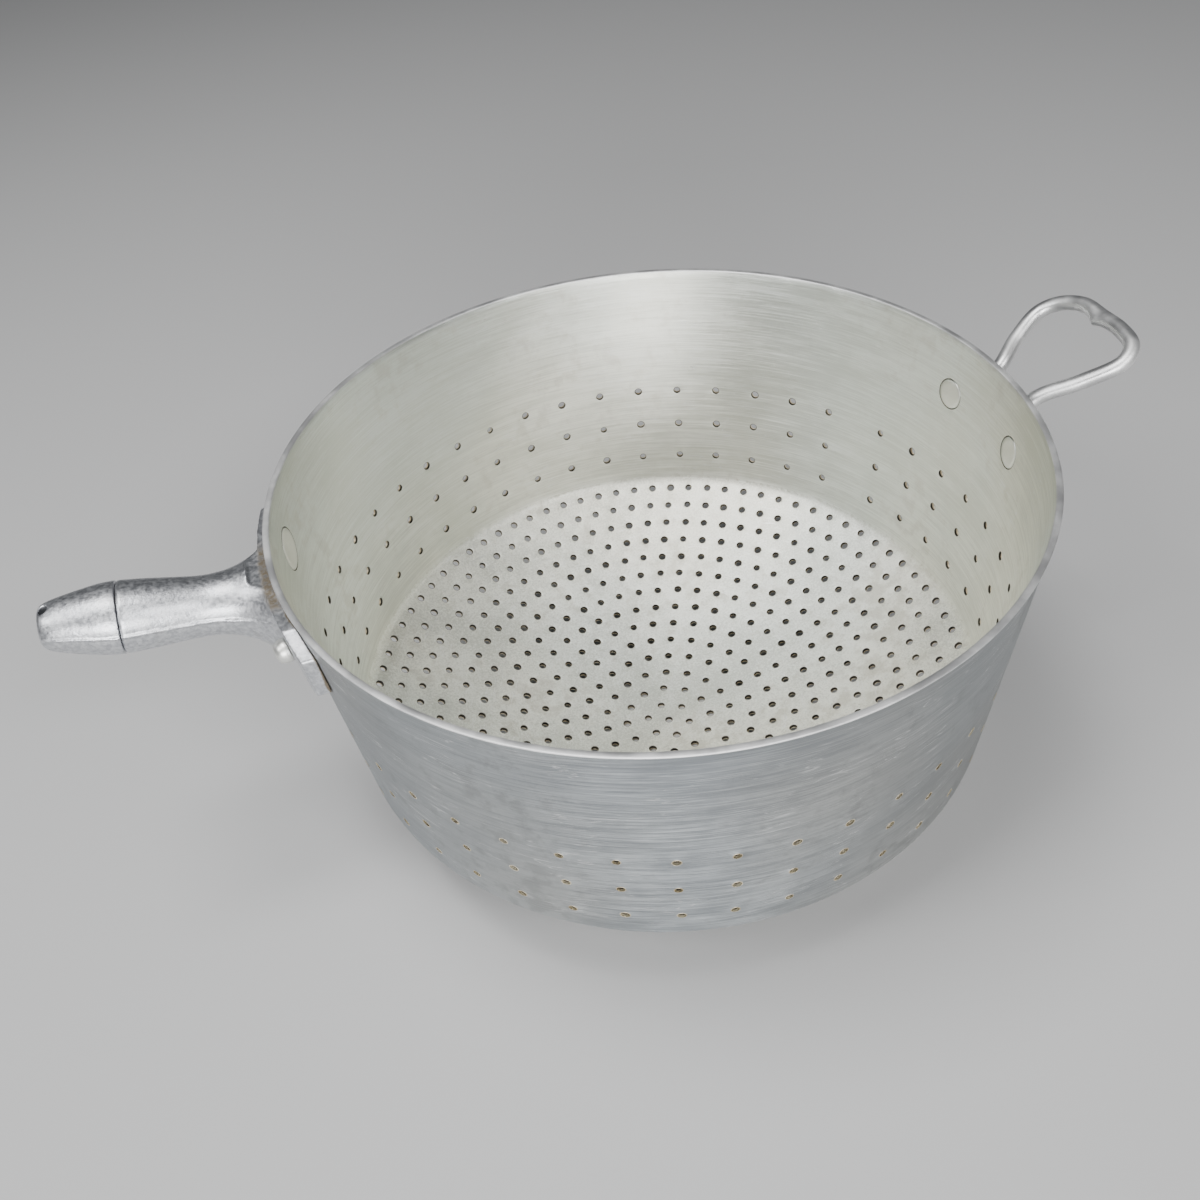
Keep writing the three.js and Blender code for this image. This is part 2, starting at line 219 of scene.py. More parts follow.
def prism(outline, low, high, matrix):
    """A solid with a flat outline, from one height to another along local Z."""
    count = len(outline)
    points = [matrix @ Vector((x, y, z)) for z in (low, high) for x, y in outline]
    bottom = tuple(range(count))[::-1]
    top = tuple(range(count, 2 * count))
    sides = [(i, (i + 1) % count, (i + 1) % count + count, i + count) for i in range(count)]
    return make_object("prism", points, [bottom, top, *sides])


def applied(piece, *kinds_and_settings):
    """Puts modifiers on a piece and keeps the result as its mesh."""
    for kind, settings in kinds_and_settings:
        modifier = piece.modifiers.new(kind, kind)
        for key, value in settings.items():
            setattr(modifier, key, value)
    graph = bpy.context.evaluated_depsgraph_get()
    result = bpy.data.meshes.new_from_object(piece.evaluated_get(graph))
    piece.modifiers.clear()
    old = piece.data
    piece.data = result
    bpy.data.meshes.remove(old)
    return piece


def combined(operation, piece, *others):
    """A piece with others joined to it, cut from it, or kept in common with it."""
    for other in others:
        settings = {"operation": operation, "object": other, "solver": "MANIFOLD"}
        applied(piece, ("BOOLEAN", settings))
        bpy.data.objects.remove(other)
    return piece


def cast(piece, voxel, rounds):
    """Softens a sharp solid into a casting: an even net of faces, relaxed a few times."""
    remesh = {"mode": "VOXEL", "voxel_size": voxel * MM, "use_smooth_shade": True}
    relax = {"factor": 0.5, "iterations": rounds}
    return applied(piece, ("REMESH", remesh), ("SMOOTH", relax))


def shifted(piece, move):
    """Moves each vertex of a piece by move(point, normal), in millimetres."""
    mesh = piece.data
    moves = [move(v.co / MM, v.normal) * MM for v in mesh.vertices]
    for vertex, step in zip(mesh.vertices, moves):
        vertex.co += step
    mesh.update()
    return piece


def smoothstep(t):
    t = min(max(t, 0), 1)
    return t * t * (3 - 2 * t)


def catmull_rom(points, steps):
    """A smooth centripetal curve through points, as a list of places on it."""
    ends = [2 * points[0] - points[1], *points, 2 * points[-1] - points[-2]]
    curve = []
    for a, b, c, d in zip(ends, ends[1:], ends[2:], ends[3:]):
        knots = [0.0]
        for p, q in ((a, b), (b, c), (c, d)):
            knots.append(knots[-1] + math.sqrt((q - p).length))
        for i in range(steps):
            t = knots[1] + (knots[2] - knots[1]) * i / steps
            level = [a, b, c, d]
            for span in (1, 2):
                level = [
                    level[n].lerp(level[n + 1], (t - knots[n]) / (knots[n + span] - knots[n]))
                    for n in range(len(level) - 1)
                ]
            share = (t - knots[1]) / (knots[2] - knots[1])
            curve.append(level[0].lerp(level[1], share))
    curve.append(points[-1])
    return curve


# ---- bowl ------------------------------------------------------------------------------

WALL_LEAN = math.atan(
    (RIM_RADIUS - (RIM_EDGE - SHEET) - CORNER_RADIUS) / (RIM_HEIGHT - DISH_DEPTH)
)


def wall_radius(height):
    return CORNER_RADIUS + (height - DISH_DEPTH) * math.tan(WALL_LEAN)


def fillet_centre():
    """Radius and height of the fillet's centre, FILLET inside both the wall and the dish."""
    along = Vector((math.sin(WALL_LEAN), math.cos(WALL_LEAN)))
    normal = Vector((math.cos(WALL_LEAN), -math.sin(WALL_LEAN)))
    start = Vector((CORNER_RADIUS, DISH_DEPTH)) - FILLET * normal
    from_sphere = start - Vector((0, DISH_SPHERE))
    half = from_sphere.dot(along)
    reach = DISH_SPHERE - FILLET
    step = -half - math.sqrt(half * half - from_sphere.length_squared + reach * reach)
    return start + step * along


CENTRE = fillet_centre()
DISH_ANGLE = math.atan2(CENTRE.x, DISH_SPHERE - CENTRE.y)
DISH_LENGTH = DISH_SPHERE * DISH_ANGLE
FILLET_LENGTH = FILLET * (math.pi / 2 - WALL_LEAN - DISH_ANGLE)
WALL_START = CENTRE + FILLET * Vector((math.cos(WALL_LEAN), -math.sin(WALL_LEAN)))
SHELL_LENGTH = DISH_LENGTH + FILLET_LENGTH + (
    (RIM_HEIGHT - RIM_PROFILE - WALL_START.y) / math.cos(WALL_LEAN)
)


def along_wall(height):
    """Distance along the outside, from the middle of the dish, to a height on the wall."""
    return DISH_LENGTH + FILLET_LENGTH + (height - WALL_START.y) / math.cos(WALL_LEAN)


def section(distance):
    """Outside point (radius, height) of the bowl's section and its outward normal."""
    if distance <= DISH_LENGTH:
        angle = distance / DISH_SPHERE
        normal = Vector((math.sin(angle), -math.cos(angle)))
        return Vector((0, DISH_SPHERE)) + DISH_SPHERE * normal, normal
    if distance <= DISH_LENGTH + FILLET_LENGTH:
        angle = DISH_ANGLE + (distance - DISH_LENGTH) / FILLET
        normal = Vector((math.sin(angle), -math.cos(angle)))
        return CENTRE + FILLET * normal, normal
    rest = distance - DISH_LENGTH - FILLET_LENGTH
    along = Vector((math.sin(WALL_LEAN), math.cos(WALL_LEAN)))
    return WALL_START + rest * along, Vector((math.cos(WALL_LEAN), -math.sin(WALL_LEAN)))


def shell_point(distance, angle, depth, raised=0.0):
    """A point of the shell: depth is 0 outside and SHEET inside, raised is outwards."""
    place, normal = section(distance)
    outward = raised - depth
    if depth == 0:
        band = (place.y - (RIM_HEIGHT - RIM_BAND)) / RIM_BAND
        outward += (RIM_EDGE - SHEET) * smoothstep(band) / math.cos(WALL_LEAN)
    flat = Vector((math.cos(angle), math.sin(angle), 0))
    settled = smoothstep(distance / STILL_MIDDLE)
    settled *= smoothstep((SHELL_LENGTH - distance) / STILL_RIM)
    waves = (flat.x * WAVES_ROUND, flat.y * WAVES_ROUND, distance / WAVE_LENGTH)
    outward += WAVE_HEIGHT * settled * noise.noise(Vector(waves))
    place = place + outward * normal
    return flat * place.x + Vector((0, 0, max(place.y, LOWEST)))


def hole(distance, angle, sides, rings, jitter=0.0):
    """A hole through the shell. Each ring is (radius, sunk inside, raised outside)."""
    distance += dice.uniform(-jitter, jitter)
    angle += dice.uniform(-jitter, jitter) / section(distance)[0].x if distance > 1 else 0
    size = 1 + dice.uniform(-SIZE_JITTER, SIZE_JITTER) * jitter
    return {"at": (distance, angle), "sides": sides, "rings": rings, "size": size}


def strainer_rings():
    """A drilled hole: a countersunk edge inside, and a worn burr round it outside."""
    burr = dice.uniform(*BURR_HEIGHTS)
    return [
        (HOLE_RADIUS, COUNTERSINK, burr),
        (HOLE_RADIUS + SHADE_AND_STAIN_RING, 0.06, burr * 0.9),
        (HOLE_RADIUS + BURR_WIDTH, 0, 0),
    ]


def pocket_rings(head):
    """A rivet's hole, with a pocket inside for its flush head."""
    edge = head + GAP
    return [
        (SHANK_RADIUS + GAP, POCKET_DEPTH, 0),
        (edge - 0.12, POCKET_DEPTH, 0),
        (edge, 0.02, 0),
        (edge + POCKET_EDGE, 0, 0),
        (edge + 0.8, 0, 0),
    ]


def all_holes():
    """Every hole of the shell: the dish's rings, the wall's rows, and the rivets' holes."""
    holes = [hole(0, 0, HOLE_SIDES, strainer_rings())]
    for ring in range(1, RING_COUNT + 1):
        distance = ring * RING_PITCH * DISH_SPHERE / (DISH_SPHERE - SHEET)
        for i in range(6 * ring):
            angle = math.radians(RING_START + (i + 0.5) * 360 / (6 * ring))
            holes.append(hole(distance, angle, HOLE_SIDES, strainer_rings(), DISH_JITTER))
    for height in ROW_HEIGHTS:
        for column in range(COLUMN_COUNT):
            at = (along_wall(height), math.radians(FIRST_COLUMN - column * COLUMN_PITCH))
            holes.append(hole(*at, HOLE_SIDES, strainer_rings(), WALL_JITTER))
    for bearing, height, head in rivet_places():
        at = (along_wall(height), math.radians(bearing))
        holes.append(hole(*at, POCKET_SIDES, pocket_rings(head)))
    return holes


def rivet_places():
    """Bearing, height and inner head radius of each rivet."""
    handle = [
        (
            HANDLE_BEARING + side * HANDLE_RIVET_ANGLE,
            FLANGE_HEIGHT - side * HANDLE_RIVET_DROP,
            HANDLE_RIVET_HEAD,
        )
        for side in (-1, 1)
    ]
    hook = [
        (side * HOOK_RIVET_ANGLE, HOOK_RIVET_HEIGHT, HOOK_RIVET_HEAD) for side in (-1, 1)
    ]
    return handle + hook


def grid_cell(place):
    return tuple(int(c // GRID_CELL) for c in place)


def shell_net(holes):
    """Points of the shell as (distance, angle, sunk, raised), and the holes' edge loops."""
    points, loops = [], []
    crowded = {}
    for made in holes:
        distance, angle = made["at"]
        radius_here = max(section(distance)[0].x, 0.01)
        reach = made["rings"][-1][0] + NET_PITCH * NET_STARTS
        centre = shell_point(distance, angle, 0)
        for shift in itertools.product((-1, 0, 1), repeat=3):
            key = tuple(c + d for c, d in zip(grid_cell(centre), shift))
            crowded.setdefault(key, []).append((centre, reach))
        for number, (radius, sunk, raised) in enumerate(made["rings"]):
            loop = []
            for i in range(made["sides"]):
                a = 2 * math.pi * (i + 0.5 * number) / made["sides"]
                step = radius * made["size"]
                loop.append(len(points))
                if distance < 1:
                    points.append((step, a, sunk, raised))
                    continue
                across = step * math.sin(a) / radius_here
                points.append((distance + step * math.cos(a), angle + across, sunk, raised))
            loops.append((loop, number))
    distance = NET_PITCH
    while distance < SHELL_LENGTH - 0.5 * NET_PITCH:
        radius_here = section(distance)[0].x
        count = min(RIM_SIDES, max(6, round(2 * math.pi * radius_here / NET_PITCH)))
        for i in range(count):
            angle = 2 * math.pi * (i + 0.5 * (round(distance / NET_PITCH) % 2)) / count
            place = shell_point(distance, angle, 0)
            near = crowded.get(grid_cell(place), [])
            if all((place - centre).length > reach for centre, reach in near):
                points.append((distance, angle, 0, 0))
        in_fillet = DISH_LENGTH - 2 < distance < DISH_LENGTH + FILLET_LENGTH + 1
        distance += NET_PITCH * (0.5 if in_fillet else 1)
    top = []
    for i in range(RIM_SIDES):
        top.append(len(points))
        points.append((SHELL_LENGTH, 2 * math.pi * i / RIM_SIDES, 0, 0))
    return points, loops, top


# OUTSIDE is painted shade: a darkened copy of the inside's spun metal
INSIDE, OUTSIDE, RIM, EDGES, DARK_EDGES, DISH = range(6)    # the bowl's materials


def bowl_mesh():
    """One closed shell: inside, outside, the walls of every hole, and the rim."""
    points, loops, top = shell_net(all_holes())
    flat = [Vector((d * math.cos(a), d * math.sin(a))) for d, a, _, _ in points]
    edges = [(a, b) for loop, _ in loops for a, b in zip(loop, loop[1:] + loop[:1])]
    edges += list(zip(top, top[1:] + top[:1]))
    _, _, triangles, origins, _, _ = delaunay_2d_cdt(flat, edges, [], 0, 1e-7, True)
    source = [found[0] if found else -1 for found in origins]
    open_loop = {
        i: which for which, (loop, number) in enumerate(loops) if number == 0 for i in loop
    }
    # faces in these rings are painted dark inside, as shade and stain, and cream outside
    shade_and_stain_rings = {HOLE_SIDES: (0, 1), POCKET_SIDES: (1, 2, 3)}
    at_edges = {i for loop, number in loops if number in shade_and_stain_rings[len(loop)] for i in loop}
    count = len(points)
    vertices = [shell_point(d, a, SHEET, sunk) for d, a, sunk, _ in points]
    vertices += [shell_point(d, a, 0, raised) for d, a, _, raised in points]
    faces, kinds = [], []
    for triangle in triangles:
        a, b, c = (source[i] for i in triangle)
        loop = open_loop.get(a)
        if loop is not None and loop == open_loop.get(b) == open_loop.get(c):
            continue
        faces += [(a, b, c), (c + count, b + count, a + count)]
        in_shade_and_stain_ring = {a, b, c} <= at_edges
        facing_in = DISH if points[a][0] < DISH_LENGTH + 0.5 * FILLET_LENGTH else INSIDE
        kinds += [DARK_EDGES if in_shade_and_stain_ring else facing_in, EDGES if in_shade_and_stain_ring else OUTSIDE]
    for loop, number in loops:
        if number == 0:
            first = len(vertices)
            in_dish = points[loop[0]][0] < DISH_LENGTH
            depth = SHEET * (UNSHADED_IN_DISH if in_dish else UNSHADED_IN_WALL)
            vertices += [shell_point(*points[i][:2], depth) for i in loop]
            middle = list(range(first, first + len(loop)))
            outer = [i + count for i in loop]
            # painted shade: from the inside, each hole's wall is dark down to its unshaded
            # share; the rest is bare cream metal
            for near, far, kind in ((loop, middle, DARK_EDGES), (middle, outer, EDGES)):
                for i in range(len(loop)):
                    j = (i + 1) % len(loop)
                    faces.append((near[j], near[i], far[i], far[j]))
                    kinds.append(kind)
    add_rim(vertices, faces, kinds, top, count)
    piece = make_object("bowl_shell", vertices, faces)
    for face, kind in zip(piece.data.polygons, kinds):
        face.material_index = kind
    return piece


def add_rim(vertices, faces, kinds, top, count):
    """Closes the shell with a flat, slightly chipped rim."""
    inner_edge = RIM_RADIUS - RIM_EDGE
    profile = [
        (RIM_RADIUS, RIM_HEIGHT - 0.3),
        (RIM_RADIUS - 0.12, RIM_HEIGHT - 0.08),
        (RIM_RADIUS - 0.4, RIM_HEIGHT),
        ((RIM_RADIUS + inner_edge) / 2, RIM_HEIGHT),
        (inner_edge + 0.3, RIM_HEIGHT),
        (inner_edge + 0.05, RIM_HEIGHT - 0.12),
        (inner_edge, RIM_HEIGHT - 0.3),
    ]
    rows = [[i + count for i in top]]
    for radius, height in profile:
        row = []
        for i in range(RIM_SIDES):
            a = 2 * math.pi * i / RIM_SIDES
            grain = noise.noise(Vector((math.cos(a) * 70, math.sin(a) * 70, radius * 0.8)))
            chip = max(0, grain - 0.2) * 0.08
            around = radius - chip * math.copysign(0.6, radius - (RIM_RADIUS + inner_edge) / 2)
            row.append(len(vertices))
            vertices.append(Vector((around * math.cos(a), around * math.sin(a), height - chip)))
        rows.append(row)
    rows.append(top)
    for low, high in zip(rows, rows[1:]):
        for i in range(RIM_SIDES):
            j = (i + 1) % RIM_SIDES
            faces.append((low[i], low[j], high[j], high[i]))
            kinds.append(RIM)


# ---- rivets ----------------------------------------------------------------------------


def wall_frame(bearing, height):
    """A frame on the outside of the wall, with local Z along its outward normal."""
    a = math.radians(bearing)
    flat = Vector((math.cos(a), math.sin(a), 0))
    origin = flat * wall_radius(height) + Vector((0, 0, height))
    normal = flat * math.cos(WALL_LEAN) - Vector((0, 0, math.sin(WALL_LEAN)))
    return aimed(origin, normal)


def rivet(name, bearing, height, head, grip):
    """A wide flush head that follows the wall inside, a shank, and a formed button outside."""
    face = -SHEET - HEAD_PROUD
    foot = grip + GAP
    top = foot + BUTTON_HEIGHT
    profile = [
        (0, face + 0.05),
        (head * 0.35, face),
        (head * 0.7, face),
        (head - 0.25, face + 0.02),
        (head, face + 0.2),
        (head, face + HEAD_THICK),
        (SHANK_RADIUS, face + HEAD_THICK),
        (SHANK_RADIUS, foot),
        (BUTTON_RADIUS - 0.2, foot),
        (BUTTON_RADIUS, foot + 0.3),
        (BUTTON_RADIUS, foot + 1.6),
        (BUTTON_RADIUS * 0.93, foot + 2.9),
        (BUTTON_RADIUS * 0.78, top - 0.6),
        (BUTTON_RADIUS * 0.55, top - 0.18),
        (BUTTON_RADIUS * 0.25, top - 0.02),
        (0, top),
    ]
    matrix = wall_frame(bearing, height)
    back = matrix.inverted()
    piece = lathe(name, profile, RIVET_SIDES, matrix)
    inward = matrix.to_3x3() @ Vector((0, 0, -1))

    def follow_wall(point, normal):
        local = back @ point
        if local.z > 0:
            dent = noise.noise(point * 0.45) * 0.12
            return -normal * max(dent, 0)
        sag = local.x * local.x / (2 * wall_radius(height))
        return inward * (sag - 0.03 * noise.noise(point * 0.5))

    return shifted(piece, follow_wall)


# ---- handle ----------------------------------------------------------------------------


def on_bearing(distance, height):
    a = math.radians(HANDLE_BEARING)
    return Vector((distance * math.cos(a), distance * math.sin(a), height))


HANDLE_ROOT = on_bearing(wall_radius(HANDLE_HEIGHT), HANDLE_HEIGHT)
HANDLE_FRAME = aimed(HANDLE_ROOT, on_bearing(1, math.tan(math.radians(HANDLE_RISE))))
HANDLE_INVERSE = HANDLE_FRAME.inverted()


def wall_cone(growth):
    """The wall's outside, grown by a clearance and taken well past both ends."""
    low, high = DISH_DEPTH, RIM_HEIGHT + CONE_PAST_RIM
    grow = growth / math.cos(WALL_LEAN)
    side = [(wall_radius(height) + grow, height) for height in (low, high)]
    return lathe("wall_cone", [(0, low), *side, (0, high)], CONE_SIDES)


def rivet_room(bearing, height, face):
    """Clearance round a rivet: its shank, and its button above the face that it clamps."""
    matrix = wall_frame(bearing, height)
    shank = bar(SHANK_RADIUS + GAP, *SHANK_ROOM, matrix)
    button = bar(BUTTON_RADIUS + BUTTON_ROOM, face, face + BUTTON_ROOM_HEIGHT, matrix)
    return [shank, button]


def flange_plate():
    """A plate that follows the wall, with a narrower ear at each end."""
    half, shoulder = FLANGE_HALF_WIDTH, SHOULDER_HALF_WIDTH
    tall, low = FLANGE_HALF_HEIGHT, EAR_HALF_HEIGHT
    outline = [
        (-half, -low), (-shoulder, -tall), (shoulder, -tall), (half, -low),
        (half, low), (shoulder, tall), (-shoulder, tall), (-half, low),
    ]
    roll = Matrix.Rotation(-math.radians(FLANGE_ROLL), 4, "Z")
    slab_start, slab_end = 100, 160
    to_wall = aimed(on_bearing(slab_start, FLANGE_HEIGHT), on_bearing(1, 0))
    slab = prism(outline, 0, slab_end - slab_start, to_wall @ roll)
    return combined("INTERSECT", slab, wall_cone(GAP + FLANGE_THICK))


def grip_outline():
    """The grip's round outline: a flare at the wall, a waist, and a swell at the seam."""
    flare = [(FLARE_RADIUS, 2), (20, 4.9), (16.8, 8.6), (14.1, 13), (12.1, 18.2)]
    barrel = [(11.1, 24), (ROOT_RADIUS, 29), (11.6, 38), (12.4, 47), (SEAM_RADIUS, SEAM_AT - 1)]
    curve = catmull_rom([Vector(p) for p in flare + barrel], 6)
    start = [(0, GRIP_START), (FLARE_RADIUS, GRIP_START)]
    end = [(12.4, SEAM_AT), (0, SEAM_AT)]
    return lathe("grip_outline", [*start, *curve, *end], HANDLE_SIDES, HANDLE_FRAME)


def cast_skin(flash_height):
    """Sand-cast unevenness, and the thin flash line in the plane where the mould parted."""

    def move(point, normal):
        local = HANDLE_INVERSE @ point
        grain = noise.noise(point * 0.16) * 0.06 + noise.noise(point * 1.1) * 0.035
        wander = 0.35 * noise.noise(Vector((local.z * 0.08, 3, 1)))
        aside = local.y - FLASH_RISE * abs(local.x) - wander
        strength = smoothstep((local.z - 4) / 6) * (0.8 + 0.5 * noise.noise(point * 0.2))
        flash = flash_height * strength * math.exp(-(aside / FLASH_WIDTH) ** 2)
        sideways = abs(normal.dot(HANDLE_FRAME.to_3x3() @ Vector((1, 0, 0))))
        return normal * (grain + flash * smoothstep(sideways * 2 - 0.8))

    return move


def handle_grip():
    """The flange and the flared grip in one casting, bored out for the rod and the rivets."""
    slab_at, half = 150, 50
    level = Matrix.Translation(on_bearing(slab_at, FLANGE_HEIGHT))
    square = [(-half, -half), (half, -half), (half, half), (-half, half)]
    slab = prism(square, -FLANGE_HALF_HEIGHT, FLANGE_HALF_HEIGHT, level)
    beyond = bar(SEAM_RADIUS + 4, ROUND_FROM, SEAM_AT + 1, HANDLE_FRAME)
    low_part = combined("INTERSECT", grip_outline(), slab)
    high_part = combined("INTERSECT", grip_outline(), beyond)
    body = combined("UNION", low_part, high_part, flange_plate())
    shifted(cast(body, voxel=0.5, rounds=8), cast_skin(GRIP_FLASH))
    cuts = [
        wall_cone(GAP),
        bar(HOLLOW_RADIUS, HOLLOW_START, SEAM_AT + PAST, HANDLE_FRAME),
        bar(ROD_RADIUS + GAP, ROD_START - 1, HOLLOW_START + 10, HANDLE_FRAME),
        bar(SEAM_RADIUS + 4, SEAM_AT - 0.1, SEAM_AT + PAST, HANDLE_FRAME),
    ]
    for bearing, height, _ in rivet_places()[:2]:
        cuts += rivet_room(bearing, height, GAP + FLANGE_THICK)
    return combined("DIFFERENCE", body, *cuts)


def handle_tip():
    """The tapered end piece, with an upright eye through it."""
    start = SEAM_AT + GAP
    taper = [
        (SEAM_RADIUS - 0.1, start - 2),
        (SEAM_RADIUS, start + 1.5),
        (12.6, start + 5),
        (11.7, start + 10),
        (10.4, start + 16),
        (9.1, start + 21),
        (TIP_RADIUS, TIP_END - 2.4),
    ]
    profile = [
        (0, start - 2),
        *catmull_rom([Vector(p) for p in taper], 5),
        (TIP_RADIUS - 0.9, TIP_END - 0.8),
        (TIP_RADIUS - 2.2, TIP_END),
        (0, TIP_END),
    ]
    body = lathe("handle_tip_cast", profile, HANDLE_SIDES, HANDLE_FRAME)
    eye_centre = HANDLE_FRAME @ Vector((0, 0, EYE_AT))
    upright = Matrix.Translation(eye_centre) @ Matrix.Diagonal((0.9, 1.15, 1, 1))
    combined("DIFFERENCE", body, bar(EYE_RADIUS + 0.1, -20, 20, upright, sides=28))
    shifted(cast(body, voxel=0.36, rounds=4), cast_skin(TIP_FLASH))
    return combined(
        "DIFFERENCE", body,
        bar(SEAM_RADIUS + 4, start - PAST - 1, start, HANDLE_FRAME),
        bar(TIP_HOLLOW_RADIUS, start - PAST, start + TIP_HOLLOW_DEPTH, HANDLE_FRAME),
        bar(ROD_RADIUS + GAP, start - PAST, ROD_END + GAP, HANDLE_FRAME),
    )


def tie_rod():
    """A steel rod with a thread at each end."""
    crest, root, plain = ROD_RADIUS - 0.1, ROD_RADIUS - 0.6, ROD_RADIUS - 0.3
    profile = [(0, ROD_START), (root, ROD_START)]
    height = ROD_START + 0.6
    while height < ROD_END - 0.6:
        threaded = height < ROD_START + 12 or height > ROD_END - 14
        profile.append((crest if threaded else plain, height))
        profile.append((root if threaded else plain, height + 0.5 * THREAD_PITCH))
        height += THREAD_PITCH
    profile += [(root, ROD_END), (0, ROD_END)]
    return lathe("threaded_rod", profile, ROD_SIDES, HANDLE_FRAME)


# ---- wire hook -------------------------------------------------------------------------


def hook_point(level, rising):
    """A point of the hook's tilted plane, from its crown: level along Y, rising outwards."""
    tilt = math.radians(HOOK_TILT)
    x, z = HOOK_CROWN
    return Vector((x + rising * math.cos(tilt), level, z + rising * math.sin(tilt)))


def beyond_wall(bearing, height, off):
    return wall_frame(bearing, height) @ Vector((0, 0, off))


def swept(name, path, radius, sides=24):
    """A tube along a path, its section carried along without twisting."""
    points, rings = [], []
    side = Vector((0, 0, 1))
    for i, place in enumerate(path):
        ahead = (path[min(i + 1, len(path) - 1)] - path[max(i - 1, 0)]).normalized()
        side = (side - ahead * side.dot(ahead)).normalized()
        across = ahead.cross(side)
        ring = []
        for j in range(sides):
            a = 2 * math.pi * j / sides
            ring.append(len(points))
            points.append(place + across * radius * math.cos(a) + side * radius * math.sin(a))
        rings.append(ring)
    faces = [tuple(rings[0])[::-1], tuple(rings[-1])]
    for low, high in zip(rings, rings[1:]):
        for j in range(sides):
            k = (j + 1) % sides
            faces.append((low[j], low[k], high[k], high[j]))
    return make_object(name, points, faces)


def kinked(point, normal):
    """Where the wire was bent to a point: flattened, wider in its plane, and nicked."""
    tilt = math.radians(HOOK_TILT)
    from_crown = point - Vector((HOOK_CROWN[0], 0, HOOK_CROWN[1]))
    rising = from_crown.x * math.cos(tilt) + from_crown.z * math.sin(tilt)
    above = from_crown.z * math.cos(tilt) - from_crown.x * math.sin(tilt)
    if rising < -12 or abs(point.y) > 14:
        return Vector((0, 0, 0))
    in_plane = Vector((math.cos(tilt), 0, math.sin(tilt)))
    across_plane = Vector((-math.sin(tilt), 0, math.cos(tilt)))
    near = math.exp(-((point.y - 0.5) / 4.5) ** 2)
    inner = smoothstep((0.4 - rising) / 2.5)
    pointed = math.exp(-(abs(point.y - 0.3) / 2.8) ** 1.5) * inner
    outer = near * smoothstep((rising - 0.4) / 2.5)
    bent = in_plane * (KINK_SWELL * outer - KINK_DEPTH * pointed)
    return bent - across_plane * (KINK_FLATTENED * near * above)


def hook_loop():
    """One wire from foot to foot, with a flat pad round each rivet."""
    in_pad, off_pad = PAD_THICK / 2 + GAP, WIRE_RADIUS + 1.1
    outer, inner = HOOK_RIVET_ANGLE + PAD_SHIFT, HOOK_RIVET_ANGLE - PAD_SHIFT
    loop = [
        (-12.8, -40), (-20.3, -22.7), (-25.3, -8), (-21.5, -1.5), (-11.5, 0.8),
        (0, 0.4),
        (11, -0.1), (19.8, -5.2), (23.6, -13), (19.8, -26), (12.7, -39),
    ]

    def foot(side):
        return [
            beyond_wall(side * outer, HOOK_RIVET_HEIGHT - 1.5, in_pad),
            beyond_wall(side * HOOK_RIVET_ANGLE, HOOK_RIVET_HEIGHT, in_pad),
            beyond_wall(side * inner, HOOK_RIVET_HEIGHT + 4, off_pad),
        ]

    path = catmull_rom([*foot(-1), *(hook_point(*p) for p in loop), *foot(1)[::-1]], 14)
    wire = swept("hook_wire", path, WIRE_RADIUS - WIRE_SKIN)
    for bearing, height, _ in rivet_places()[2:]:
        flat = Matrix.Diagonal((PAD_HALF_LENGTH, PAD_HALF_HEIGHT, 1, 1))
        pad = bar(1, GAP, GAP + PAD_THICK, wall_frame(bearing, height) @ flat)
        combined("UNION", wire, pad)
    shifted(cast(wire, voxel=0.45, rounds=4), kinked)
    cuts = [wall_cone(GAP)]
    for bearing, height, _ in rivet_places()[2:]:
        cuts += rivet_room(bearing, height, GAP + PAD_THICK)
    return combined("DIFFERENCE", wire, *cuts)


# ---- materials -------------------------------------------------------------------------

ACROSS_BRUSHING = 0.25         # of a turn, from round the bowl's axis
COOL, WARM = (0.96, 0.99, 1, 1), (1, 0.99, 0.95, 1)
BARE_LINE = (0.95, 0.95, 0.95, 1)
PIT = (0.16, 0.15, 0.14, 1)
GRIME = (0.17, 0.125, 0.06, 1)


